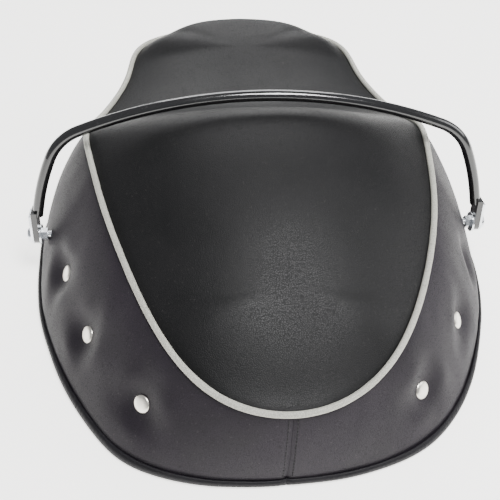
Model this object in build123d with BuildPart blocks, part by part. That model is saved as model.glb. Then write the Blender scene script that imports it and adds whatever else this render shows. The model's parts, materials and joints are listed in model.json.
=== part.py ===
from build123d import *
import math
import os

# Two-up motorcycle seat with a swinging grab rail. +Y is the nose, +Z is up, and the hem rests on z = 0.

# Overall size of the upholstered body at the hem
seat_length = 492.0
seat_width = 402.0

# Heights of the piping line and of the crown's centre line
tail_pipe_height = 70.0
crest_pipe_height = 119.0
dip_pipe_height = 99.0
nose_pipe_height = 107.0
crest_height = 160.0
dip_height = 112.0
nose_height = 120.0

# The sides are ruled straight up to this height, and sampled at this many steps from tail to nose
flare_top = 175.0
outline_steps = 24

# Where along the seat the crest ends, the dip lies and the nose rises
crest_pipe_y = 28.0
dip_pipe_y = 95.0
crest_y = -2.0
dip_y = 92.0
tail_pipe_gap = 14.0
nose_pipe_gap = 13.0

# Vinyl skin, foam and piping
cover_thickness = 1.5
soft_gap = 0.3
piping_radius = 2.6
piping_runs = 26
piping_sink = 0.7
piping_corner_share = 0.45
hem_height = 7.0
hem_thickness = 0.9

# Pressed steel pan
pan_thickness = 1.6
pan_wall_height = 66.0
pan_floor_height = 25.0
drain_hole_radius = 5.0
drain_spacing_x = 150.0
drain_spacing_y = 330.0

# Hat-section braces under the pan
brace_width = 34.0
brace_depth = 13.0
brace_flange = 12.0
brace_positions = {"rear": -150.0, "middle": -12.0, "front": 120.0}
brace_spans = {"rear": 210.0, "middle": 300.0, "front": 180.0}

# Mounting plate for the sprung support, with a rectangle of clearance holes
mount_plate_length = 78.0
mount_plate_width = 120.0
mount_plate_corner = 8.0
mount_plate_thickness = 3.0
mount_plate_y = -81.0
mount_spacing_x = 80.0
mount_spacing_y = 60.0
mount_hole_radius = 4.2
mount_nut_flats = 13.0
mount_nut_height = 6.5

# Clevis under the nose
clevis_y = 186.0
clevis_ear_gap = 26.0
clevis_ear_thickness = 3.0
clevis_ear_radius = 9.0
clevis_bore_radius = 4.1
clevis_drop = 12.0
clevis_base_length = 44.0

# Press studs along each side: position along the seat and height
stud_positions = [(-65.0, 48.0), (-129.0, 43.0), (-196.0, 41.0)]
stud_cap_radius = 7.5
stud_cap_height = 3.0
stud_seat_gap = 1.2  # the caps stand on a twisted surface
stud_post_radius = 2.0
stud_washer_radius = 6.0
stud_washer_thickness = 1.0
stud_washer_depth = 3.7
stud_hole_gap = 0.15
pocket_gap = 4.0

# Grab rail: a round rod bent to a crown arc, two shoulders and two curved legs
rod_radius = 4.75
rail_height = 127.5
rail_lean = 11.3
crown_radius = 430.0
crown_angle = 21.0
shoulder_radius = 46.0
shoulder_end_angle = 66.0
leg_radius = 220.0
leg_end_angle = 78.0
rail_end_thickness = 5.0
rail_end_width = 15.6
rail_end_length = 20.0
rail_end_joggle = 2.5
pivot_y = -12.0
pivot_height = 45.0

# Pivot hardware at each end of the rail
bolt_radius = 3.0
running_gap = 0.06
side_gap = 0.2
nut_flats = 10.0
nut_height = 5.0
washer_radius = 9.0
washer_thickness = 1.6
plate_thickness = 2.0
plate_length = 22.0
bolt_head_radius = 6.0
bolt_head_height = 3.6
anchor_thickness = 3.0
anchor_width = 40.0
anchor_foot = 28.0
anchor_top = 62.0
anchor_wall_gap = 2.0
anchor_nut_height = 6.0
bolt_end_length = 2.0

half_length = seat_length / 2
half_width = seat_width / 2
trim_room = 20.0  # how far the trimming blocks stand past the seat

# Plan outlines from tail centre to nose centre, as shares of half the width and half the length.
# The lower one is the hem, the upper one is where the flared sides reach the crest's piping height.
hem_shape = [(0.33, -0.972), (0.585, -0.882), (0.747, -0.745), (0.896, -0.50), (0.98, -0.256),
             (1.0, 0.0), (0.968, 0.244), (0.80, 0.50), (0.637, 0.732), (0.557, 0.88), (0.38, 0.97)]
upper_shape = [(0.14, -0.872), (0.28, -0.775), (0.388, -0.65), (0.52, -0.467), (0.645, -0.232),
               (0.716, 0.01), (0.731, 0.154), (0.627, 0.374), (0.537, 0.65), (0.498, 0.83), (0.35, 0.922)]
hem_ends = (-1.0, 1.0)
upper_ends = (-0.902, 0.95)


def closed_outline(shape, ends):
    """Both halves of an outline as one smooth ring, tail first and nose half-way round."""
    right = [(x * half_width, y * half_length) for x, y in shape]
    left = [(-x, y) for x, y in reversed(right)]
    return Spline((0, ends[0] * half_length), *right, (0, ends[1] * half_length), *left, periodic=True)


hem_ring = closed_outline(hem_shape, hem_ends)
upper_ring = closed_outline(upper_shape, upper_ends)


def side_at(share, height):
    """Place on the flared side, a share of the way from tail to nose, and its outward direction."""
    rise_share = height / crest_pipe_height
    place = hem_ring @ (share / 2) * (1 - rise_share) + upper_ring @ (share / 2) * rise_share
    along = (hem_ring % (share / 2) * (1 - rise_share) + upper_ring % (share / 2) * rise_share).normalized()
    return place, Vector(along.Y, -along.X)


def outline_points(height, distance):
    """Places round the outline at one height, moved inwards by a distance."""
    right = []
    for i in range(1, outline_steps):
        place, outward = side_at(i / outline_steps, height)
        right.append((place.X - outward.X * distance, place.Y - outward.Y * distance))
    tail = (0, side_at(0, height)[0].Y + distance)
    nose = (0, side_at(1, height)[0].Y - distance)
    return [tail, *right, nose, *((-x, y) for x, y in reversed(right))]


def side_share(y, height):
    """How far along the half outline a place lies at one height."""
    low, high = 0.0, 1.0
    for _ in range(24):
        middle = (low + high) / 2
        if side_at(middle, height)[0].Y < y:
            low = middle
        else:
            high = middle
    return low


def side_point(y, height):
    """Half width of the side surface at one place, and its outward direction in plan."""
    place, outward = side_at(side_share(y, height), height)
    return place.X, outward


def rise(low, high, share):
    return low + (high - low) * (1 - math.cos(math.pi * share)) / 2


tail_pipe_y = -half_length + tail_pipe_gap
nose_pipe_y = half_length - nose_pipe_gap


def pipe_height(y):
    if y <= crest_pipe_y:
        share = max(0.0, (y - tail_pipe_y) / (crest_pipe_y - tail_pipe_y))
        return tail_pipe_height + (crest_pipe_height - tail_pipe_height) * math.sin(math.pi / 2 * share)
    if y <= dip_pipe_y:
        return rise(crest_pipe_height, dip_pipe_height, (y - crest_pipe_y) / (dip_pipe_y - crest_pipe_y))
    share = min(1.0, (y - dip_pipe_y) / (nose_pipe_y - dip_pipe_y))
    return rise(dip_pipe_height, nose_pipe_height, share)


def crown_height(y):
    if y <= crest_y:
        share = max(0.0, (y - tail_pipe_y) / (crest_y - tail_pipe_y))
        return tail_pipe_height + (crest_height - tail_pipe_height) * math.sin(math.pi / 2 * share)
    if y <= dip_y:
        return rise(crest_height, dip_height, (y - crest_y) / (dip_y - crest_y))
    share = min(1.0, (y - dip_y) / (nose_pipe_y - dip_y))
    return rise(dip_height, nose_height, share)


def flared_body(bottom, top, distance):
    """Solid inside the flared sides between two heights, moved inwards by a distance."""
    with BuildPart() as body:
        for height in (0, flare_top):
            with BuildSketch(Plane.XY.offset(height)):
                with BuildLine():
                    Spline(*outline_points(height, distance), periodic=True)
                make_face()
        loft(ruled=True)
        split(bisect_by=Plane.YZ, keep=Keep.TOP)
        mirror(about=Plane.YZ)
        add(slab(bottom, top), mode=Mode.INTERSECT)
    return body.part


def below_piping():
    """Everything under the piping line, across the whole width."""
    count = 20
    reach = half_length + trim_room
    points = [(-reach + 2 * reach * i / count, 0) for i in range(count + 1)]
    with BuildPart() as under:
        with BuildSketch(Plane.YZ.offset(-half_width - trim_room)):
            with BuildLine():
                top = Spline(*[(y, pipe_height(y)) for y, _ in points])
                Polyline(top @ 1, (reach, -trim_room), (-reach, -trim_room), top @ 0)
            make_face()
        extrude(amount=seat_width + 2 * trim_room)
    return under.part


crown_stations = [-0.93, -0.85, -0.74, -0.6, -0.42, -0.22, 0.0, 0.12, 0.24, 0.36, 0.54, 0.7, 0.84, 0.945]
crown_overlap = 4.0
crown_edge = 6.0
crown_least_reach = 24.0
crown_least_rise = 1.5


def crown(distance):
    """Domed top from just under the piping line to the centre line, lowered by a distance."""
    with BuildPart() as dome:
        for station in crown_stations:
            y = station * half_length
            edge = max(side_point(y, pipe_height(y))[0], crown_least_reach)
            low = pipe_height(y)
            high = max(crown_height(y), low + crown_least_rise)
            reach = edge + crown_edge
            fall = (high - low) * (reach / edge) ** 2
            with BuildSketch(Plane.XZ.offset(-y)):
                with BuildLine():
                    top = ThreePointArc((-reach, high - fall - distance), (0, high - distance),
                                        (reach, high - fall - distance))
                    bottom = high - fall - distance - crown_overlap
                    Polyline(top @ 1, (reach, bottom), (-reach, bottom), top @ 0)
                make_face()
        loft(ruled=True)
    return dome.part


def slab(low, high):
    """A wide block between two heights, for trimming."""
    with BuildPart() as block:
        with BuildSketch(Plane.XY.offset(low)):
            Rectangle(seat_width + 4 * trim_room, seat_length + 4 * trim_room)
        extrude(amount=high - low)
    return block.part


def half_space(side):
    """A wide block on one side of the centre plane."""
    with BuildPart() as block:
        with BuildSketch(Plane.XY.offset(-trim_room)):
            with Locations((side * (half_width + trim_room) / 2, 0)):
                Rectangle(half_width + trim_room, seat_length + 2 * trim_room)
        extrude(amount=crest_height + 3 * trim_room)
    return block.part


def write(piece, name):
    piece.label = name
    export_step(piece, f"parts/{name}.step")


os.makedirs("parts", exist_ok=True)

# Places along the rail: the crown arc, one shoulder, one leg and its straight end, from the top down
turn_crown = math.radians(crown_angle)
turn_shoulder = math.radians(shoulder_end_angle)
turn_leg = math.radians(leg_end_angle)
crown_centre = (0, rail_height - crown_radius)
shoulder_centre = (crown_centre[0] + (crown_radius - shoulder_radius) * math.sin(turn_crown),
                   crown_centre[1] + (crown_radius - shoulder_radius) * math.cos(turn_crown))
leg_centre = (shoulder_centre[0] + (shoulder_radius - leg_radius) * math.sin(turn_shoulder),
              shoulder_centre[1] + (shoulder_radius - leg_radius) * math.cos(turn_shoulder))
leg_stop = (leg_centre[0] + leg_radius * math.sin(turn_leg), leg_centre[1] + leg_radius * math.cos(turn_leg))
rod_stop = (leg_stop[0] + (leg_stop[1] - rail_end_length) / math.tan(turn_leg), rail_end_length)

# Faces of the pivot hardware along X, from the seat's side outwards
pivot_x = rod_stop[0] + rail_end_joggle
rail_inner = pivot_x - rail_end_thickness / 2
rail_outer = pivot_x + rail_end_thickness / 2
washer_inner = rail_inner - side_gap - washer_thickness
nut_inner = washer_inner - nut_height
plate_outer = rail_outer + plate_thickness
anchor_outer = side_point(pivot_y, anchor_top)[0] - cover_thickness - soft_gap - pan_thickness - anchor_wall_gap
anchor_inner = anchor_outer - anchor_thickness
lean = math.radians(rail_lean)
rail_up = (0, math.sin(lean), math.cos(lean))
rail_plane = Plane(origin=(0, pivot_y, pivot_height), x_dir=(1, 0, 0),
                   z_dir=(0, -math.cos(lean), math.sin(lean)))


def pivot_plane(side, x, x_dir=(0, 1, 0)):
    """Plane across the pivot axis, facing outwards on one side."""
    return Plane(origin=(side * x, pivot_y, pivot_height), x_dir=x_dir, z_dir=(side, 0, 0))


def stud_plane(side, y, height, depth):
    """Plane square to the side surface at a stud, a depth below the skin, facing outwards."""
    x, outward = side_point(y, height)
    flare = math.atan2((side_point(y, height - 5)[0] - side_point(y, height + 5)[0]) * outward.X, 10)
    normal = Vector(side * outward.X * math.cos(flare), outward.Y * math.cos(flare), math.sin(flare))
    origin = Vector(side * x, y, height) - normal * depth
    return Plane(origin=origin, z_dir=normal)


def stud_holes(side, radius):
    """Short pegs through the side at each stud, for cutting holes."""
    with BuildPart() as pegs:
        for y, height in stud_positions:
            with BuildSketch(stud_plane(side, y, height, 9.0)):
                Circle(radius)
            extrude(amount=12.0)
    return pegs.part


def pivot_hole(side, radius):
    """Peg across the side at the rail's pivot, for cutting a hole."""
    with BuildPart() as peg:
        with BuildSketch(pivot_plane(side, anchor_outer)):
            Circle(radius)
        extrude(amount=nut_inner - anchor_outer)
    return peg.part


def seat_pan():
    outer = cover_thickness + soft_gap
    inner = outer + pan_thickness
    wall = flared_body(0, pan_wall_height, outer) - flared_body(0, pan_wall_height, inner)
    floor = flared_body(pan_floor_height, pan_floor_height + pan_thickness, outer + pan_thickness / 2)
    with BuildPart() as pan:
        add(wall)
        add(floor)
        for side in (-1, 1):
            add(stud_holes(side, stud_post_radius + stud_hole_gap), mode=Mode.SUBTRACT)
            add(pivot_hole(side, bolt_radius + stud_hole_gap), mode=Mode.SUBTRACT)
        with BuildSketch(Plane.XY.offset(pan_floor_height)):
            with GridLocations(drain_spacing_x, drain_spacing_y, 2, 2):
                Circle(drain_hole_radius)
            with Locations((0, mount_plate_y)):
                with GridLocations(mount_spacing_x, mount_spacing_y, 2, 2):
                    Circle(mount_hole_radius)
        extrude(amount=pan_thickness, mode=Mode.SUBTRACT)
    write(pan.part, "seat_pan")


def pan_brace(name):
    """Hat section welded across the underside of the pan floor."""
    y, span = brace_positions[name], brace_spans[name]
    wall = pan_thickness
    with BuildPart() as brace:
        with BuildSketch(Plane.YZ.offset(-span / 2)):
            with Locations((y, pan_floor_height - brace_depth / 2)):
                Rectangle(brace_width, brace_depth)
            with Locations((y, pan_floor_height - wall / 2)):
                Rectangle(brace_width + 2 * brace_flange, wall)
            with Locations((y, pan_floor_height - (brace_depth - wall) / 2)):
                Rectangle(brace_width - 2 * wall, brace_depth - wall, mode=Mode.SUBTRACT)
        extrude(amount=span)
        fillet(brace.edges().filter_by(Axis.X).group_by(Axis.Z)[0].sort_by(Axis.Y)[0], wall * 0.8)
        fillet(brace.edges().filter_by(Axis.X).group_by(Axis.Z)[0].sort_by(Axis.Y)[-1], wall * 0.8)
    write(brace.part, f"pan_brace_{name}")


def spring_mount():
    """Plate under the pan floor with a rectangle of holes, and a welded nut over each one inside."""
    with BuildPart() as plate:
        with BuildSketch(Plane.XY.offset(pan_floor_height - mount_plate_thickness)):
            with Locations((0, mount_plate_y)):
                RectangleRounded(mount_plate_width, mount_plate_length, mount_plate_corner)
                with GridLocations(mount_spacing_x, mount_spacing_y, 2, 2):
                    Circle(mount_hole_radius, mode=Mode.SUBTRACT)
        extrude(amount=mount_plate_thickness)
    write(plate.part, "spring_mount_plate")
    with BuildPart() as nuts:
        with BuildSketch(Plane.XY.offset(pan_floor_height + pan_thickness)):
            with Locations((0, mount_plate_y)):
                with GridLocations(mount_spacing_x, mount_spacing_y, 2, 2):
                    RegularPolygon(mount_nut_flats / 2, 6, major_radius=False)
                    Circle(mount_hole_radius, mode=Mode.SUBTRACT)
        extrude(amount=mount_nut_height)
    write(nuts.part, "spring_mount_nuts")


def nose_clevis():
    """Folded bracket with two ears, bored for the front pivot pin."""
    base_width = clevis_ear_gap + 2 * clevis_ear_thickness + 2 * brace_flange
    bore_height = pan_floor_height - clevis_drop
    with BuildPart() as clevis:
        with BuildSketch(Plane.XY.offset(pan_floor_height - clevis_ear_thickness)):
            with Locations((0, clevis_y)):
                RectangleRounded(base_width, clevis_base_length, clevis_ear_thickness)
        extrude(amount=clevis_ear_thickness)
        for x in (-clevis_ear_gap / 2 - clevis_ear_thickness, clevis_ear_gap / 2):
            with BuildSketch(Plane.YZ.offset(x)):
                with Locations((clevis_y, bore_height)):
                    Circle(clevis_ear_radius)
                with Locations((clevis_y, pan_floor_height - clevis_drop / 2)):
                    Rectangle(2 * clevis_ear_radius, clevis_drop)
                with Locations((clevis_y, bore_height)):
                    Circle(clevis_bore_radius, mode=Mode.SUBTRACT)
            extrude(amount=clevis_ear_thickness)
    write(clevis.part, "nose_clevis")


def foam_cushion():
    """One foam block: inside the pan wall at the bottom, out to the cover above it, domed on top."""
    skin = cover_thickness + soft_gap
    inside_pan = skin + pan_thickness + soft_gap
    floor_top = pan_floor_height + pan_thickness + soft_gap
    rim_top = pan_wall_height + soft_gap
    pocket_top = anchor_top + pocket_gap
    with BuildPart() as foam:
        add(flared_body(rim_top, crest_pipe_height, skin))
        add(below_piping(), mode=Mode.INTERSECT)
        add(crown(skin) & flared_body(rim_top, flare_top, skin))
        add(flared_body(floor_top, rim_top, inside_pan))
        with BuildSketch(Plane.XY.offset(floor_top)):
            with Locations((0, mount_plate_y)):
                with GridLocations(mount_spacing_x, mount_spacing_y, 2, 2):
                    Circle(mount_nut_flats / 2 + pocket_gap)
        extrude(amount=mount_nut_height + soft_gap, mode=Mode.SUBTRACT)
        for side in (-1, 1):
            foot = anchor_inner - anchor_foot - pocket_gap
            with BuildSketch(Plane.XY.offset(floor_top)):
                with Locations((side * (foot + half_width) / 2, pivot_y)):
                    Rectangle(half_width - foot, anchor_width + 2 * pocket_gap)
            extrude(amount=pocket_top - floor_top, mode=Mode.SUBTRACT)
            for y, height in stud_positions:
                with BuildSketch(stud_plane(side, y, height, stud_washer_depth + 2 * pocket_gap)):
                    Circle(stud_washer_radius + pocket_gap)
                extrude(amount=stud_washer_depth + 2 * pocket_gap, mode=Mode.SUBTRACT)
    write(foam.part, "foam_cushion")


def covers():
    """Top panel, two side panels and the folded band along each lower edge."""
    skin = cover_thickness
    side_shell = flared_body(0, crest_pipe_height, 0) - flared_body(0, crest_pipe_height, skin)
    side_shell = side_shell & below_piping()
    dome = crown(0) & flared_body(pan_wall_height, flare_top, 0)
    write(dome - crown(skin) - below_piping(), "top_cover")
    band = flared_body(0, hem_height, -hem_thickness) - flared_body(0, hem_height, 0)
    with BuildPart() as panel:
        add(side_shell & half_space(-1))
        add(stud_holes(-1, stud_post_radius + stud_hole_gap), mode=Mode.SUBTRACT)
        add(pivot_hole(-1, bolt_radius + stud_hole_gap), mode=Mode.SUBTRACT)
    write(panel.part, "side_cover_left")
    write(mirror(panel.part, about=Plane.YZ), "side_cover_right")
    for side, word in sides:
        write(band & half_space(side), f"hem_band_{word}")


def piping_point(share):
    """Point on the seam between top and sides, a share of the way from tail to nose."""
    y = 0.0
    for _ in range(20):
        height = pipe_height(y)
        place, outward = side_at(share, height)
        y = (y + place.Y) / 2
    place += outward * (piping_radius - cover_thickness * piping_sink)
    return Vector(place.X, place.Y, height)


def piping():
    """Cord sewn into the seam, running all the way round."""
    inner = [piping_point(i / piping_runs) for i in range(1, piping_runs)]
    points = [Vector(0, inner[0].Y, inner[0].Z), *inner, Vector(0, inner[-1].Y, inner[-1].Z)]
    radii = []
    for before, corner, after in zip(points, points[1:], points[2:]):
        turn = math.radians((corner - before).get_angle(after - corner))
        radii.append(piping_corner_share * min((corner - before).length, (after - corner).length) / math.tan(turn / 2))
    with BuildPart() as cord:
        with BuildLine():
            path = FilletPolyline(*points, radius=radii)
        with BuildSketch(Plane(origin=path @ 0, z_dir=path % 0)):
            Circle(piping_radius)
        sweep()
        mirror(about=Plane.YZ)
    write(cord.part, "piping")


def press_studs(side, word):
    """Domed caps with posts through the side and the pan wall, and a washer behind each one."""
    with BuildPart() as studs:
        for y, height in stud_positions:
            with BuildSketch(stud_plane(side, y, height, -stud_seat_gap)):
                Circle(stud_cap_radius)
            extrude(amount=stud_cap_height)
            cap = studs.solids().sort_by_distance(stud_plane(side, y, height, 0).origin)[0]
            fillet(cap.edges().filter_by(GeomType.CIRCLE).sort_by_distance(
                stud_plane(side, y, height, -3 * stud_cap_height).origin)[0], stud_cap_height * 0.8)
            with BuildSketch(stud_plane(side, y, height, stud_washer_depth + 1.5 * stud_washer_thickness)):
                Circle(stud_post_radius)
            extrude(amount=stud_washer_depth + 2 * stud_washer_thickness + stud_seat_gap - soft_gap)
    write(studs.part, f"press_studs_{word}")
    with BuildPart() as washers:
        for y, height in stud_positions:
            with BuildSketch(stud_plane(side, y, height, stud_washer_depth + stud_washer_thickness)):
                Circle(stud_washer_radius)
                Circle(stud_post_radius + running_gap, mode=Mode.SUBTRACT)
            extrude(amount=stud_washer_thickness)
    write(washers.part, f"stud_washers_{word}")


def grab_rail():
    """Bent rod with a flattened, bored end on each leg."""
    with BuildPart() as rail:
        with BuildLine(rail_plane):
            CenterArc(crown_centre, crown_radius, 90 - crown_angle, crown_angle)
            CenterArc(shoulder_centre, shoulder_radius, 90 - shoulder_end_angle, shoulder_end_angle - crown_angle)
            CenterArc(leg_centre, leg_radius, 90 - leg_end_angle, leg_end_angle - shoulder_end_angle)
            Line(leg_stop, rod_stop)
        with BuildSketch(Plane(origin=rail_plane.from_local_coords((0, rail_height, 0)), z_dir=(1, 0, 0))):
            Circle(rod_radius)
        sweep(transition=Transition.ROUND)
        with BuildSketch(pivot_plane(1, rail_inner, rail_up)):
            Circle(rail_end_width / 2)
            with Locations(((rail_end_length + rod_radius) / 2, 0)):
                Rectangle(rail_end_length + rod_radius, rail_end_width)
        extrude(amount=rail_end_thickness)
        with BuildSketch(pivot_plane(1, rail_inner, rail_up)):
            Circle(bolt_radius + running_gap)
        extrude(amount=rail_end_thickness, mode=Mode.SUBTRACT)
        mirror(about=Plane.YZ)
    write(rail.part, "grab_rail")


def pivot_hardware(side, word):
    """End plate on the rail, and the bolt, washer, nut and anchor bracket that stay with the seat."""
    with BuildPart() as plate:
        with BuildSketch(pivot_plane(side, rail_outer, rail_up)):
            Circle(rail_end_width / 2)
            with Locations((plate_length / 2, 0)):
                Rectangle(plate_length, rail_end_width)
            Circle(bolt_radius + running_gap, mode=Mode.SUBTRACT)
        extrude(amount=plate_thickness)
    write(plate.part, f"rail_end_plate_{word}")

    bolt_start = anchor_inner - anchor_nut_height - bolt_end_length
    with BuildPart() as bolt:
        with BuildSketch(pivot_plane(side, bolt_start)):
            Circle(bolt_radius)
        extrude(amount=plate_outer + side_gap - bolt_start)
        with BuildSketch(pivot_plane(side, plate_outer + side_gap)):
            Circle(bolt_head_radius)
        extrude(amount=bolt_head_height)
        fillet(bolt.edges().filter_by(GeomType.CIRCLE).sort_by(Axis.X)[-1 if side > 0 else 0],
               bolt_head_height * 0.6)
    write(bolt.part, f"pivot_bolt_{word}")

    with BuildPart() as washer:
        with BuildSketch(pivot_plane(side, washer_inner)):
            Circle(washer_radius)
            Circle(bolt_radius + running_gap, mode=Mode.SUBTRACT)
        extrude(amount=washer_thickness)
    write(washer.part, f"pivot_washer_{word}")

    with BuildPart() as nut:
        with BuildSketch(pivot_plane(side, nut_inner)):
            RegularPolygon(nut_flats / 2, 6, major_radius=False)
            Circle(bolt_radius, mode=Mode.SUBTRACT)
        extrude(amount=nut_height)
    write(nut.part, f"pivot_nut_{word}")

    foot_top = pan_floor_height + pan_thickness + anchor_thickness
    with BuildPart() as anchor:
        with BuildSketch(Plane.XY.offset(foot_top - anchor_thickness)):
            with Locations((side * (anchor_outer - anchor_foot / 2), pivot_y)):
                Rectangle(anchor_foot, anchor_width)
        extrude(amount=anchor_thickness)
        with BuildSketch(Plane.XY.offset(foot_top)):
            with Locations((side * (anchor_outer + anchor_inner) / 2, pivot_y)):
                Rectangle(anchor_thickness, anchor_width)
        extrude(amount=anchor_top - foot_top)
        with BuildSketch(pivot_plane(side, anchor_inner)):
            Circle(bolt_radius + running_gap)
        extrude(amount=anchor_thickness, mode=Mode.SUBTRACT)
    write(anchor.part, f"rail_anchor_{word}")

    with BuildPart() as anchor_nut:
        with BuildSketch(pivot_plane(side, anchor_inner - anchor_nut_height)):
            RegularPolygon(nut_flats / 2, 6, major_radius=False)
            Circle(bolt_radius, mode=Mode.SUBTRACT)
        extrude(amount=anchor_nut_height)
    write(anchor_nut.part, f"anchor_nut_{word}")


sides = ((-1, "left"), (1, "right"))
foam_cushion()
covers()
piping()
seat_pan()
for brace_name in brace_positions:
    pan_brace(brace_name)
spring_mount()
nose_clevis()
grab_rail()
for side_sign, side_word in sides:
    press_studs(side_sign, side_word)
    pivot_hardware(side_sign, side_word)
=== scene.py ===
import bpy
import bmesh
import json
import math
import numpy as np
from mathutils import Matrix, Vector, noise


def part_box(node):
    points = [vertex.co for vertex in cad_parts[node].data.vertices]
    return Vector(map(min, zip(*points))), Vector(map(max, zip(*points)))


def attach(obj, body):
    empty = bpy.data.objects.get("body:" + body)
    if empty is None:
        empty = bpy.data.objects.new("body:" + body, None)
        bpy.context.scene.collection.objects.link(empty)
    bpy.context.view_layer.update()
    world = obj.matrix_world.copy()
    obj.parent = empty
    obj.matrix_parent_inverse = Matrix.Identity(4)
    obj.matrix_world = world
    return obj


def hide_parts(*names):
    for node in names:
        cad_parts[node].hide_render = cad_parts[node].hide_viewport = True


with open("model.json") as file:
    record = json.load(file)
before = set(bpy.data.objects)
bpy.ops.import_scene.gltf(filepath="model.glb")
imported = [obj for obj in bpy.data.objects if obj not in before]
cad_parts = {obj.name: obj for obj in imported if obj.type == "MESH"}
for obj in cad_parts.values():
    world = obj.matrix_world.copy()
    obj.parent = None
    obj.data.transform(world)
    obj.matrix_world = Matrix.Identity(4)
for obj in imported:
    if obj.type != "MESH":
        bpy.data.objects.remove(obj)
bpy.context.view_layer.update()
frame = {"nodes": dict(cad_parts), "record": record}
nodes = frame["nodes"]
print("frame loaded")

# the seat's own lines, in metres; its width comes from the frame
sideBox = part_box("side_cover_right")
seat = {
    "halfWidth": sideBox[1].x, "halfLength": 0.246,
    "tailPipe": 0.070, "crestPipe": 0.119, "dipPipe": 0.099, "nosePipe": 0.101,
    "crest": 0.160, "dip": 0.112, "nose": 0.1240,
    "crestPipeY": 0.028, "dipPipeY": 0.095, "crestY": -0.002, "dipY": 0.092,
    "tailGap": 0.014, "noseGap": 0.013,
}
# plan outlines from tail to nose, as shares of half the width and length: at the hem, and at the piping's level
hemShape = [(0.33, -0.972), (0.585, -0.882), (0.747, -0.745), (0.896, -0.50), (0.98, -0.256),
            (1.0, 0.0), (0.968, 0.244), (0.80, 0.50), (0.637, 0.732), (0.557, 0.88), (0.38, 0.97)]
upperShape = [(0.14, -0.872), (0.28, -0.775), (0.388, -0.65), (0.52, -0.467), (0.645, -0.232),
              (0.716, 0.01), (0.731, 0.154), (0.627, 0.374), (0.537, 0.65), (0.498, 0.83), (0.35, 0.922)]


def smoothLoop(shape, ends, count=900):
    # half of a smooth closed line through the points, sampled evenly from tail to nose
    points = np.array([(0, ends[0])] + shape + [(0, ends[1])] + [(-x, y) for x, y in reversed(shape)])
    points = points * (seat["halfWidth"], seat["halfLength"])
    n = len(points)
    after = np.roll(points, -1, axis=0)
    gaps = np.linalg.norm(after - points, axis=1)
    lean = (after - points) / gaps[:, None]
    system = np.zeros((n, n))
    wanted = np.zeros((n, 2))
    for i in range(n):
        system[i, i - 1] = gaps[i]
        system[i, i] = 2 * (gaps[i] + gaps[i - 1])
        system[i, (i + 1) % n] = gaps[i - 1]
        wanted[i] = 3 * (gaps[i] * lean[i - 1] + gaps[i - 1] * lean[i])
    slopes = np.linalg.solve(system, wanted)
    knots = np.concatenate([[0], np.cumsum(gaps)])
    at = np.linspace(0, knots[-1] / 2, count)
    cell = np.clip(np.searchsorted(knots, at, side="right") - 1, 0, n - 1)
    t = ((at - knots[cell]) / gaps[cell])[:, None]
    a, b = points[cell], after[cell]
    p, q = slopes[cell] * gaps[cell][:, None], slopes[(cell + 1) % n] * gaps[cell][:, None]
    return a + t * p + t * t * (3 * (b - a) - 2 * p - q) + t ** 3 * (2 * (a - b) + p + q)


hemLine = smoothLoop(hemShape, (-1.0, 1.0))
upperLine = smoothLoop(upperShape, (-0.902, 0.95))
shareSteps = np.linspace(0, 1, len(hemLine))


def sidePlan(share, height):
    # plan place of the ruled side at a share of the way from tail to nose
    k = height / seat["crestPipe"]
    x = np.interp(share, shareSteps, hemLine[:, 0]) * (1 - k) + np.interp(share, shareSteps, upperLine[:, 0]) * k
    y = np.interp(share, shareSteps, hemLine[:, 1]) * (1 - k) + np.interp(share, shareSteps, upperLine[:, 1]) * k
    return x, y


def swell(low, high, share):
    return low + (high - low) * (1 - np.cos(np.pi * np.clip(share, 0, 1))) / 2


def lineHeight(y, tail, crest, dip, nose, crestY, dipY):
    # height along the seat of a line that climbs to the crest, falls to the dip and kicks up at the nose
    tailY, noseY = seat["tailGap"] - seat["halfLength"], seat["halfLength"] - seat["noseGap"]
    climb = tail + (crest - tail) * np.sin(np.pi / 2 * np.clip((y - tailY) / (crestY - tailY), 0, 1))
    fall = swell(crest, dip, (y - crestY) / (dipY - crestY))
    kick = swell(dip, nose, (y - dipY) / (noseY - dipY))
    return np.where(y <= crestY, climb, np.where(y <= dipY, fall, kick))


def pipeHeight(y):
    return lineHeight(y, seat["tailPipe"], seat["crestPipe"], seat["dipPipe"], seat["nosePipe"],
                      seat["crestPipeY"], seat["dipPipeY"])


def crownHeight(y):
    return lineHeight(y, seat["tailPipe"] + 0.001, seat["crest"], seat["dip"], seat["nose"],
                      seat["crestY"], seat["dipY"])


pipeX = pipeY = np.zeros_like(shareSteps)
for _ in range(30):  # settles where the piping's height and its place along the seat agree
    pipeX, seamY = sidePlan(shareSteps, pipeHeight(pipeY))
    pipeY = (pipeY + seamY) / 2
pipeZ = pipeHeight(pipeY)


sway = {"tail": 0.0040, "nose": -0.0038, "from": -0.13, "to": 0.10, "rearLeft": 0.0045, "cornerY": -0.222,
        "cornerLength": 0.030, "cornerHeight": 0.06, "cornerHalfWidth": 0.05}


def swayed(place, hand):
    # the sewn upper sits a little askew on the pan, and the left rear corner is fuller
    rise = np.clip(place[:, 2] / seat["crestPipe"], 0, 1)
    shift = swell(sway["tail"], sway["nose"], (place[:, 1] - sway["from"]) / (sway["to"] - sway["from"]))
    corner = np.exp(-((place[:, 1] - sway["cornerY"]) / sway["cornerLength"]) ** 2)
    corner = corner * np.exp(-(place[:, 2] / sway["cornerHeight"]) ** 2) * (hand < 0)
    outward = np.stack([np.sign(place[:, 0]), -np.ones_like(rise)], 1) * 0.7 * (np.abs(place[:, 0:1]) > 0.004)
    moved = place.copy()
    moved[:, 0] += shift * np.clip(rise * 1.3, 0, 1)
    moved[:, :2] += outward * (corner * sway["rearLeft"] * np.clip(
        np.abs(place[:, 0]) / sway["cornerHalfWidth"], 0, 1))[:, None]
    return moved


def pipePlace(share):
    return [np.interp(share, shareSteps, line) for line in (pipeX, pipeY, pipeZ)]


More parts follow.
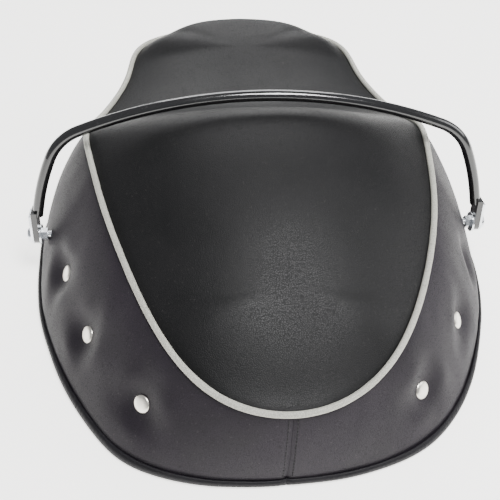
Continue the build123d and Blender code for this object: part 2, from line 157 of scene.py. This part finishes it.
def ripple(points, scale, seed=0.0):
    # smooth noise from -1 to 1 at each point
    return np.array([noise.noise(Vector(p) * scale + Vector((seed, -seed, seed * 0.7))) for p in points])


# side panels: bulge, tufts round the studs, and the sewn grooves

side = {
    "bulge": 0.0085, "tailBulge": 0.0045, "noseBulge": 0.005, "bulgeFrom": -0.14, "bulgeTo": 0.11,
    "tuft": 0.0165, "tuftSharp": 2.4, "pull": 0.0008, "pullReach": 0.022,
    "wave": 0.0011, "waveScale": 17, "crease": 0.00035, "creaseScale": 60,
    "pullWidth": 0.009, "pulls": 3, "hemGroove": 0.0009, "hemGrooveWidth": 0.0017, "stitchHeight": 0.0078,
    "seamGroove": 0.0014, "seamWidth": 0.0022, "skin": 0.0014, "columns": 210, "rows": 38,
}
studSpots = [(-0.065, 0.048), (-0.129, 0.043), (-0.196, 0.041)]


def ruledNormal(share, height):
    # outward direction of the ruled side
    step = 0.002
    ahead, behind = sidePlan(np.minimum(share + step, 1), height), sidePlan(np.maximum(share - step, 0), height)
    low, high = sidePlan(share, height - 0.004), sidePlan(share, height + 0.004)
    along = np.stack([ahead[0] - behind[0], ahead[1] - behind[1], np.zeros_like(share)], 1)
    along[share <= step] = (1, 0, 0)
    along[share >= 1 - step] = (-1, 0, 0)
    up = np.stack([high[0] - low[0], high[1] - low[1], np.full_like(share, 0.008)], 1)
    out = np.cross(along, up)
    return out / np.linalg.norm(out, axis=1)[:, None]


def ruledPlace(share, height):
    x, y = sidePlan(share, height)
    return np.stack([x, y, height + 0 * x], 1)


def shareAt(y, height):
    # the share at which the ruled side reaches y, by halving
    low, high = 0.0, 1.0
    for _ in range(26):
        middle = (low + high) / 2
        if sidePlan(middle, height)[1] < y:
            low = middle
        else:
            high = middle
    return low


studs = []
for y, height in studSpots:
    share = np.array([shareAt(y, height)])
    studs.append((ruledPlace(share, np.array([height]))[0], ruledNormal(share, np.array([height]))[0]))


def sideSurface(share, rise, hand):
    # final place and outward direction on a side panel; rise is 0 at the hem and 1 at the piping
    top = pipePlace(share)[2]
    height = rise * top
    place, out = ruledPlace(share, height), ruledNormal(share, height)
    y = place[:, 1]
    ends = np.where(y < 0, side["tailBulge"], side["noseBulge"])
    flank = np.clip(np.where(y < side["bulgeFrom"] / 2, (y - side["bulgeFrom"] * 1.6) / -side["bulgeFrom"],
                             (side["bulgeTo"] * 1.5 - y) / side["bulgeTo"]), 0, 1)
    flank = flank * flank * (3 - 2 * flank)
    fullness = (4 * rise * (1 - rise)) ** 0.75
    move = (ends + (side["bulge"] - ends) * flank) * fullness
    handed = place * (hand, 1, 1)
    quiet = np.clip(rise * 8, 0, 1) * np.clip((1 - rise) * 8, 0, 1)
    move += quiet * side["wave"] * ripple(handed * (1, 1, 0.6), side["waveScale"], 3.1)
    move += quiet * side["crease"] * ripple(handed * (1, 1, 0.5), side["creaseScale"], 8.3)
    for index, (spot, _) in enumerate(studs):
        away = place - spot
        distance = np.linalg.norm(away, axis=1)
        tuck = np.exp(-(distance / side["tuft"]) ** side["tuftSharp"])
        angle = np.arctan2(away[:, 2], away @ np.array([0.6, 0.8, 0]))
        ring = np.exp(-((distance - side["pullReach"]) / side["pullWidth"]) ** 2)
        folds = np.cos(side["pulls"] * angle + 1.3 * index + hand) * ring
        move = move * (1 - tuck) - side["pull"] * folds * quiet
    move -= side["hemGroove"] * np.exp(-((height - side["stitchHeight"]) / side["hemGrooveWidth"]) ** 2)
    move -= side["seamGroove"] * np.exp(-(place[:, 0] / side["seamWidth"]) ** 2) * (y < 0) * np.clip(rise * 12, 0, 1)
    place = swayed((place + out * move[:, None]) * (hand, 1, 1), hand)
    return place, out * (hand, 1, 1)


# mesh helpers


def bentGrid(columns, rows, shape):
    # a flat grid bent into place; shape takes the grid's two positions from 0 to 1
    bm = bmesh.new()
    bmesh.ops.create_grid(bm, x_segments=columns, y_segments=rows, size=0.5)
    flat = np.array([vert.co[:2] for vert in bm.verts]) + 0.5
    for vert, spot in zip(bm.verts, shape(flat[:, 0], flat[:, 1])):
        vert.co = spot
    bmesh.ops.remove_doubles(bm, verts=bm.verts, dist=0.00001)
    bmesh.ops.dissolve_degenerate(bm, edges=bm.edges, dist=0.000005)
    bmesh.ops.recalc_face_normals(bm, faces=bm.faces)
    return bm


def makePiece(name, bm, material, replaced=(), subdivide=0, wall=0.0, body="seat"):
    mesh = bpy.data.meshes.new(name)
    bm.to_mesh(mesh)
    bm.free()
    mesh.shade_smooth()
    piece = bpy.data.objects.new(name, mesh)
    bpy.context.scene.collection.objects.link(piece)
    mesh.materials.append(material)
    if subdivide:
        finer = piece.modifiers.new("finer", "SUBSURF")
        finer.levels = finer.render_levels = subdivide
    if wall:
        thick = piece.modifiers.new("thick", "SOLIDIFY")
        thick.thickness, thick.offset = wall, -1
    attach(piece, body)
    if replaced:
        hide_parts(*replaced)
    return piece


# materials


def newGroup(name, inputs, outputs):
    group = bpy.data.node_groups.new(name, "ShaderNodeTree")
    for label, kind, value in inputs:
        socket = group.interface.new_socket(label, in_out="INPUT", socket_type=kind)
        if value is not None:
            socket.default_value = value
    for label, kind in outputs:
        group.interface.new_socket(label, in_out="OUTPUT", socket_type=kind)
    return group, group.nodes.new("NodeGroupInput"), group.nodes.new("NodeGroupOutput")


def addMath(tree, operation, first, second=None, third=None, clamp=False):
    node = tree.nodes.new("ShaderNodeMath")
    node.operation, node.use_clamp = operation, clamp
    for socket, value in zip(node.inputs, (first, second, third)):
        if isinstance(value, bpy.types.NodeSocket):
            tree.links.new(value, socket)
        elif value is not None:
            socket.default_value = value
    return node.outputs[0]


def addNoise(tree, vector, scale, detail=2.0, roughness=0.5):
    node = tree.nodes.new("ShaderNodeTexNoise")
    node.inputs["Detail"].default_value, node.inputs["Roughness"].default_value = detail, roughness
    tree.links.new(vector, node.inputs["Vector"])
    if isinstance(scale, bpy.types.NodeSocket):
        tree.links.new(scale, node.inputs["Scale"])
    else:
        node.inputs["Scale"].default_value = scale
    return node.outputs["Fac"]


def addRange(tree, value, low, high, newLow=0.0, newHigh=1.0):
    node = tree.nodes.new("ShaderNodeMapRange")
    node.interpolation_type = "SMOOTHSTEP"
    for socket, number in zip(node.inputs[1:5], (low, high, newLow, newHigh)):
        socket.default_value = number
    tree.links.new(value, node.inputs[0])
    return node.outputs[0]


def addMix(tree, factor, first, second):
    node = tree.nodes.new("ShaderNodeMix")
    node.data_type = "RGBA"
    for socket, value in ((node.inputs[0], factor), (node.inputs[6], first), (node.inputs[7], second)):
        if isinstance(value, bpy.types.NodeSocket):
            tree.links.new(value, socket)
        else:
            socket.default_value = value
    return node.outputs[2]


# embossed vinyl: wandering creases between small flat cells, with fine pores
grain, grainIn, grainOut = newGroup("vinylGrain", [
    ("Vector", "NodeSocketVector", None), ("Cells", "NodeSocketFloat", 700.0), ("Wander", "NodeSocketFloat", 0.0006)],
    [("Height", "NodeSocketFloat"), ("Crease", "NodeSocketFloat")])
bend = grain.nodes.new("ShaderNodeTexNoise")
bend.inputs["Scale"].default_value, bend.inputs["Detail"].default_value = 260.0, 2.0
grain.links.new(grainIn.outputs["Vector"], bend.inputs["Vector"])
centred = grain.nodes.new("ShaderNodeVectorMath")
centred.operation = "SUBTRACT"
centred.inputs[1].default_value = (0.5, 0.5, 0.5)
grain.links.new(bend.outputs["Color"], centred.inputs[0])
pushed = grain.nodes.new("ShaderNodeVectorMath")
pushed.operation = "MULTIPLY_ADD"
grain.links.new(centred.outputs[0], pushed.inputs[0])
grain.links.new(grainIn.outputs["Wander"], pushed.inputs[1])
grain.links.new(grainIn.outputs["Vector"], pushed.inputs[2])
cells = grain.nodes.new("ShaderNodeTexVoronoi")
cells.feature = "DISTANCE_TO_EDGE"
grain.links.new(pushed.outputs[0], cells.inputs["Vector"])
grain.links.new(grainIn.outputs["Cells"], cells.inputs["Scale"])
flat = addRange(grain, cells.outputs["Distance"], 0.0, 0.16)
pores = addNoise(grain, grainIn.outputs["Vector"], addMath(grain, "MULTIPLY", grainIn.outputs["Cells"], 3.0), 2.0)
grain.links.new(addMath(grain, "MULTIPLY_ADD", pores, 0.35, flat), grainOut.inputs["Height"])
grain.links.new(addMath(grain, "SUBTRACT", 1.0, flat), grainOut.inputs["Crease"])

# handling marks: cloudy rubbed patches and a little settled dust
handled, handledIn, handledOut = newGroup("handling", [
    ("Vector", "NodeSocketVector", None), ("Patches", "NodeSocketFloat", 14.0), ("Dust", "NodeSocketFloat", 0.1)],
    [("Rubbed", "NodeSocketFloat"), ("Dust", "NodeSocketFloat")])
cloud = addNoise(handled, handledIn.outputs["Vector"], handledIn.outputs["Patches"], 4.0, 0.6)
handled.links.new(addRange(handled, cloud, 0.35, 0.68), handledOut.inputs["Rubbed"])
specks = addNoise(handled, handledIn.outputs["Vector"], 420.0, 3.0, 0.7)
handled.links.new(addMath(handled, "MULTIPLY", addRange(handled, specks, 0.6, 0.75), handledIn.outputs["Dust"]),
                  handledOut.inputs["Dust"])


def newMaterial(name, settings):
    material = bpy.data.materials.new(name)
    material.use_nodes = True
    tree = material.node_tree
    shader = tree.nodes["Principled BSDF"]
    for label, value in settings.items():
        shader.inputs[label].default_value = value
    place = tree.nodes.new("ShaderNodeTexCoord").outputs["Object"]
    return material, tree, shader, place


def addGroup(tree, group, place, **values):
    node = tree.nodes.new("ShaderNodeGroup")
    node.node_tree = group
    tree.links.new(place, node.inputs["Vector"])
    for label, value in values.items():
        node.inputs[label].default_value = value
    return node.outputs


def addBump(tree, shader, height, strength, distance):
    bump = tree.nodes.new("ShaderNodeBump")
    bump.inputs["Strength"].default_value, bump.inputs["Distance"].default_value = strength, distance
    tree.links.new(height, bump.inputs["Height"])
    tree.links.new(bump.outputs[0], shader.inputs["Normal"])


def vinyl(name, colour, rubbedColour, roughness, cells=700.0, bump=0.35, dust=0.05, depth=0.00018,
          shine=0.24):
    material, tree, shader, place = newMaterial(name, {"IOR": 1.5, "Specular IOR Level": shine})
    creases = addGroup(tree, grain, place, Cells=cells)
    marks = addGroup(tree, handled, place, Dust=dust)
    tone = addMix(tree, marks["Rubbed"], colour, rubbedColour)
    # painted shade: the colour is darkened towards near black in the grain's creases, the shade that falls into the
    # embossed grooves
    tone = addMix(tree, addMath(tree, "MULTIPLY", creases["Crease"], 0.35), tone, (0.004, 0.004, 0.004, 1))
    tone = addMix(tree, marks["Dust"], tone, (0.35, 0.33, 0.30, 1))
    tree.links.new(tone, shader.inputs["Base Color"])
    rough = addMath(tree, "MULTIPLY_ADD", marks["Rubbed"], 0.07, roughness)
    tree.links.new(addMath(tree, "MULTIPLY_ADD", creases["Crease"], 0.2, rough), shader.inputs["Roughness"])
    addBump(tree, shader, creases["Height"], bump, depth)
    return material


def plated(name, colour, roughness, brushed=900.0, bump=0.1):
    material, tree, shader, place = newMaterial(name, {"Metallic": 1.0})
    marks = addGroup(tree, handled, place, Patches=90.0, Dust=0.2)
    streaks = addNoise(tree, place, brushed, 3.0, 0.7)
    dull = tuple(c * 0.72 for c in colour[:3]) + (1,)
    tree.links.new(addMix(tree, marks["Rubbed"], colour, dull), shader.inputs["Base Color"])
    tree.links.new(addMath(tree, "MULTIPLY_ADD", streaks, 0.16, roughness), shader.inputs["Roughness"])
    addBump(tree, shader, streaks, bump, 0.00004)
    return material


def painted(name, colour, roughness, peel, coat=0.0, wear=(0.10, 0.09, 0.08, 1), wearShare=0.0):
    material, tree, shader, place = newMaterial(name, {"Coat Weight": coat, "Coat Roughness": 0.06})
    marks = addGroup(tree, handled, place, Patches=40.0, Dust=0.15)
    chips = addMath(tree, "MULTIPLY", addRange(tree, addNoise(tree, place, 160.0, 5.0, 0.7), 0.66, 0.70), wearShare)
    tone = addMix(tree, chips, colour, wear)
    tone = addMix(tree, marks["Dust"], tone, (0.20, 0.19, 0.18, 1))
    tree.links.new(tone, shader.inputs["Base Color"])
    tree.links.new(addMath(tree, "MULTIPLY_ADD", marks["Rubbed"], 0.06, roughness), shader.inputs["Roughness"])
    addBump(tree, shader, addNoise(tree, place, 500.0, 2.0), peel, 0.00005)
    return material


topVinyl = vinyl("topVinyl", (0.0035, 0.0035, 0.0038, 1), (0.0060, 0.0058, 0.0063, 1), 0.40)
sideVinyl = vinyl("sideVinyl", (0.0082, 0.0058, 0.0096, 1), (0.0135, 0.0098, 0.0155, 1), 0.46, bump=0.28)
hemVinyl = vinyl("hemVinyl", (0.0055, 0.0048, 0.0066, 1), (0.0090, 0.0080, 0.0105, 1), 0.44)
pipingVinyl = vinyl("pipingVinyl", (0.52, 0.515, 0.455, 1), (0.46, 0.455, 0.40, 1), 0.42, bump=0.12, dust=0.25)
threadMaterial = vinyl("blackThread", (0.008, 0.008, 0.009, 1), (0.014, 0.014, 0.015, 1), 0.5, cells=2400.0,
                       bump=0.5)
foamMaterial = vinyl("foamCells", (0.62, 0.52, 0.28, 1), (0.52, 0.42, 0.21, 1), 0.85, cells=900.0, bump=0.8,
                     depth=0.0004)
nickel = plated("studNickel", (0.93, 0.89, 0.80, 1), 0.24)
zinc = plated("zincPlate", (0.86, 0.89, 0.92, 1), 0.18, bump=0.2)
railPaint = painted("railPaint", (0.006, 0.006, 0.0065, 1), 0.16, 0.10, coat=0.8)
panPaint = painted("panPaint", (0.014, 0.014, 0.015, 1), 0.42, 0.35, wearShare=0.5)
print("materials made")

slotMaterials = {"pan_steel": panPaint, "rail_paint": railPaint, "stud_nickel": nickel, "zinc_plate": zinc,
                 "foam": foamMaterial, "top_vinyl": topVinyl, "side_vinyl": sideVinyl, "hem_vinyl": hemVinyl,
                 "piping_vinyl": pipingVinyl}
for part in frame["record"]["subparts"]:
    shown = nodes[part["node"]]
    for index in range(len(shown.material_slots)):
        shown.material_slots[index].material = slotMaterials[part["material_slot"]]

# top panel

top = {"tailPole": -0.155, "nosePole": 0.175, "full": 2.25, "endFull": 2.2, "endReach": 0.03, "lip": 14.0,
       "lipFrom": 0.86, "wave": 0.0007, "waveScale": 13, "pucker": 0.0002, "puckerPitch": 0.021, "puckerReach": 0.008,
       "sink": 0.0009, "sinkReach": 0.003, "insetScale": 0.14, "runLength": 0.62, "crowding": 1.25, "smoothing": 6,
       "skin": 0.0014, "columns": 300, "rows": 34}


def domeShape(u, v):
    turn = u * 2
    share = np.where(turn <= 1, turn, 2 - turn)
    hand = np.where(turn <= 1, 1.0, -1.0)
    reach = 1 - (1 - v) ** top["crowding"]  # rows crowd towards the seam
    edgeX, edgeY = pipePlace(share)[:2]
    middleY = np.clip(edgeY, top["tailPole"], top["nosePole"])
    x = hand * edgeX * reach
    y = middleY + (edgeY - middleY) * reach
    rise = crownHeight(y) - pipeHeight(y)
    full = top["full"] + top["endFull"] * np.clip(np.abs(edgeY - middleY) / top["endReach"], 0, 1)
    full += top["lip"] * np.clip((share - top["lipFrom"]) / (1 - top["lipFrom"]), 0, 1)
    z = pipeHeight(y) + rise * (1 - reach ** full)
    spots = np.stack([x, y, z], 1)
    quiet = np.clip((1 - reach) * 6, 0, 1)
    z += top["wave"] * quiet * ripple(spots, top["waveScale"], 5.7)
    inset = (1 - reach) * top["insetScale"]
    z += top["pucker"] * np.cos(share * top["runLength"] * 2 * np.pi / top["puckerPitch"]) * np.exp(
        -(inset / top["puckerReach"]) ** 2)
    z -= top["sink"] * np.exp(-(inset / top["sinkReach"]) ** 2)
    return swayed(np.stack([x, y, z], 1), hand)


dome = bentGrid(top["columns"], top["rows"], domeShape)
inner = [v for v in dome.verts if not v.is_boundary]
for _ in range(top["smoothing"]):
    bmesh.ops.smooth_vert(dome, verts=inner, factor=0.5, use_axis_x=True, use_axis_y=True, use_axis_z=True)
topPanel = makePiece("top_panel", dome, topVinyl, ["top_cover"], subdivide=1, wall=top["skin"])
print("top panel made")

# side panels, hem bands and stitches

hem = {"centre": 0.0036, "halfHeight": 0.0035, "halfThick": 0.0012, "stand": 0.0005, "wobble": 0.0009,
       "wobbleScale": 22, "pitch": 0.0040, "pinch": 0.00045, "columns": 380, "around": 12}
stitch = {"pitch": 0.0040, "length": 0.0032, "radius": 0.00055, "sunk": 0.0001, "seamOffset": 0.0036,
          "seamFrom": 0.11, "seamTo": 0.95}
# half section of a cap and its post, from the crown's middle down to the foot, and how far it stands off the panel
capProfile = [(0, 0.0019), (0.0040, 0.0018), (0.0060, 0.0015), (0.0070, 0.0009), (0.0074, 0.0001),
              (0.0070, -0.0003), (0.0021, -0.0003), (0.0021, -0.0060), (0, -0.0060)]
capStand = 0.0004
hemRun = np.concatenate([[0], np.cumsum(np.linalg.norm(np.diff(hemLine, axis=0), axis=1))])


def addStitch(bm, spot, out, along):
    out, along = Vector(out).normalized(), Vector(along).normalized()
    across = out.cross(along).normalized()
    out = along.cross(across)
    turned = Matrix((along, across, out)).transposed().to_4x4()
    place = Matrix.Translation(Vector(spot) - out * stitch["sunk"]) @ turned
    shape = Matrix.Diagonal((stitch["length"] / 2, stitch["radius"], stitch["radius"], 1))
    bmesh.ops.create_icosphere(bm, subdivisions=1, radius=1, matrix=place @ shape)


for word, hand in (("left", -1), ("right", 1)):
    panel = bentGrid(side["columns"], side["rows"],
                     lambda u, v: sideSurface(u ** 1.3, 0.45 * v + 0.55 * v * v, hand)[0])
    sidePanel = makePiece(f"side_panel_{word}", panel, sideVinyl, [f"side_cover_{word}"],
                          subdivide=1, wall=side["skin"])

    def hemShape3d(u, v):
        share = np.interp(u, hemRun / hemRun[-1], shareSteps)
        turn = v * 2 * np.pi
        height = hem["centre"] + hem["halfHeight"] * np.sin(turn)
        place, out = sideSurface(share, height / pipePlace(share)[2], hand)
        beat = np.cos(2 * np.pi * u * hemRun[-1] / hem["pitch"])
        thick = hem["halfThick"] * (1 + 0.5 * np.cos(turn)) - hem["pinch"] * beat * np.cos(turn)
        stand = hem["stand"] + thick * np.cos(turn)
        stand = stand + hem["wobble"] * (ripple(
            np.stack([place[:, 0], place[:, 1], 0 * u], 1), hem["wobbleScale"], 1.9) + 0.3)
        return place + out * stand[:, None]

    band = bentGrid(hem["columns"], hem["around"], hemShape3d)
    makePiece(f"hem_band_folded_{word}", band, hemVinyl, [f"hem_band_{word}"], subdivide=1)

    thread = bmesh.new()
    count = int(hemRun[-1] / stitch["pitch"])
    for index in range(count):
        share = np.interp((index + 0.5 + np.array([-0.2, 0, 0.2])) / count, hemRun / hemRun[-1], shareSteps)
        place, out = sideSurface(share, side["stitchHeight"] / pipePlace(share)[2], hand)
        addStitch(thread, place[1], out[1], place[2] - place[0])
    makePiece(f"hem_stitches_{word}", thread, threadMaterial)

    seam = bmesh.new()
    seamLength = math.hypot(seat["tailPipe"], 0.03)
    for index in range(int(seamLength / stitch["pitch"])):
        rise = stitch["seamFrom"] + (stitch["seamTo"] - stitch["seamFrom"]) * index * stitch["pitch"] / seamLength
        share = np.full(3, np.interp(stitch["seamOffset"], hemLine[:, 0][:60], shareSteps[:60]))
        place, out = sideSurface(share, rise + np.array([-0.02, 0, 0.02]), hand)
        addStitch(seam, place[1], out[1], place[2] - place[0])
    makePiece(f"tail_stitches_{word}", seam, threadMaterial)

    caps = bmesh.new()
    for spot, out in studs:
        cap = bmesh.new()
        rim = [cap.verts.new((x, 0, z + capStand)) for x, z in capProfile]
        edges = [cap.edges.new(pair) for pair in zip(rim, rim[1:])]
        bmesh.ops.spin(cap, geom=rim + edges, axis=(0, 0, 1), cent=(0, 0, 0), steps=40, angle=2 * math.pi,
                       use_merge=True)
        bmesh.ops.remove_doubles(cap, verts=cap.verts, dist=0.000005)
        bmesh.ops.recalc_face_normals(cap, faces=cap.faces)
        facing = Vector(out * (hand, 1, 1)).to_track_quat("Z", "Y").to_matrix().to_4x4()
        seated = swayed((spot * (hand, 1, 1))[None, :], hand)[0]
        bmesh.ops.transform(cap, matrix=Matrix.Translation(Vector(seated)) @ facing, verts=cap.verts)
        loose = bpy.data.meshes.new("cap")
        cap.to_mesh(loose)
        cap.free()
        caps.from_mesh(loose)
        bpy.data.meshes.remove(loose)
    makePiece(f"stud_caps_{word}", caps, nickel, [f"press_studs_{word}"], subdivide=1)
    print("side made", word)

# piping

piping = {"radius": 0.0026, "proud": 0.00155, "columns": 620, "around": 14, "crush": 0.00012, "crushPitch": 0.013}


def pipingShape(u, v):
    turn = u * 2
    share = np.where(turn <= 1, turn, 2 - turn)
    hand = np.where(turn <= 1, 1.0, -1.0)
    x, y, z = pipePlace(share)
    out = ruledNormal(share, z) * (1, 1, 0)
    out /= np.linalg.norm(out, axis=1)[:, None]
    angle = v * 2 * np.pi
    radius = piping["radius"] + piping["crush"] * ripple(np.stack([x * hand, y, z], 1), 1 / piping["crushPitch"], 2.2)
    centre = np.stack([x, y, z], 1) + out * piping["proud"]
    spots = centre + out * (radius * np.cos(angle))[:, None] + np.array([0, 0, 1]) * (radius * np.sin(angle))[:, None]
    return swayed(spots * np.stack([hand, np.ones_like(u), np.ones_like(u)], 1), hand)


makePiece("piping_cord", bentGrid(piping["columns"], piping["around"], pipingShape), pipingVinyl,
          ["piping"], subdivide=1)
print("piping made")

# foam

foam = {"voxel": 0.005, "shrink": 0.004, "smooth": 4}
core = bmesh.new()
core.from_mesh(nodes["foam_cushion"].data)
bmesh.ops.remove_doubles(core, verts=core.verts, dist=0.00001)
foamCore = makePiece("foam_core", core, foamMaterial, ["foam_cushion"])
remesh = foamCore.modifiers.new("remesh", "REMESH")
remesh.mode, remesh.voxel_size = "VOXEL", foam["voxel"]
shrink = foamCore.modifiers.new("shrink", "DISPLACE")
shrink.strength, shrink.mid_level = -foam["shrink"], 0
soften = foamCore.modifiers.new("soften", "SMOOTH")
soften.iterations = foam["smooth"]
settled = bpy.data.meshes.new_from_object(foamCore.evaluated_get(bpy.context.evaluated_depsgraph_get()))
foamCore.modifiers.clear()
foamCore.data = settled
settled.shade_smooth()
print("foam made")

# floor, light and camera

floor = bmesh.new()
bmesh.ops.create_grid(floor, x_segments=1, y_segments=1, size=4)
floorMesh = bpy.data.meshes.new("floor")
floor.to_mesh(floorMesh)
floor.free()
floorPiece = bpy.data.objects.new("floor", floorMesh)
bpy.context.scene.collection.objects.link(floorPiece)
floorMaterial = newMaterial("paleFloor", {
    "Base Color": (0.93, 0.925, 0.91, 1), "Roughness": 0.8, "Specular IOR Level": 0.1,
    "Emission Color": (1.0, 0.985, 0.95, 1), "Emission Strength": 2.2})[0]
floorMesh.materials.append(floorMaterial)

world = bpy.data.worlds.new("studio")
world.use_nodes = True
world.node_tree.nodes["Background"].inputs["Color"].default_value = (0.93, 0.95, 1.0, 1)
world.node_tree.nodes["Background"].inputs["Strength"].default_value = 0.42
bpy.context.scene.world = world

lamps = {
    "overhead": {"place": (0.26, -0.46, 1.5), "aim": (0.02, -0.15, 0.1), "size": 0.5, "power": 33},
    "window": {"place": (0.1, 1.9, 1.25), "aim": (0, 0.1, 0.1), "size": 1.3, "power": 31},
    "fill": {"place": (1.7, -0.1, 1.0), "aim": (0, 0, 0.1), "size": 1.1, "power": 17},
}
for name, lamp in lamps.items():
    light = bpy.data.lights.new(name, "AREA")
    light.size, light.energy = lamp["size"], lamp["power"]
    lampPiece = bpy.data.objects.new(name, light)
    lampPiece.location = lamp["place"]
    lampPiece.rotation_euler = (Vector(lamp["aim"]) - Vector(lamp["place"])).to_track_quat("-Z", "Y").to_euler()
    bpy.context.scene.collection.objects.link(lampPiece)

view = {"azimuth": -6.5, "elevation": 44.0, "roll": 2.7, "distance": 0.710, "target": (-0.01495, -0.0684, 0.072),
        "lens": 61.2}
azimuth, elevation, roll = (math.radians(view[key]) for key in ("azimuth", "elevation", "roll"))
back = Vector((math.sin(azimuth) * math.cos(elevation), -math.cos(azimuth) * math.cos(elevation), math.sin(elevation)))
level = (-back).cross(Vector((0, 0, 1))).normalized()
upright = level.cross(-back)
camX = level * math.cos(roll) + upright * math.sin(roll)
camY = upright * math.cos(roll) - level * math.sin(roll)
camera = bpy.data.cameras.new("camera")
camera.lens, camera.sensor_width = view["lens"], 36
cameraPiece = bpy.data.objects.new("camera", camera)
cameraPiece.matrix_world = Matrix.Translation(Vector(view["target"]) + back * view["distance"]) @ Matrix(
    (camX, camY, back)).transposed().to_4x4()
bpy.context.scene.collection.objects.link(cameraPiece)
bpy.context.scene.camera = cameraPiece
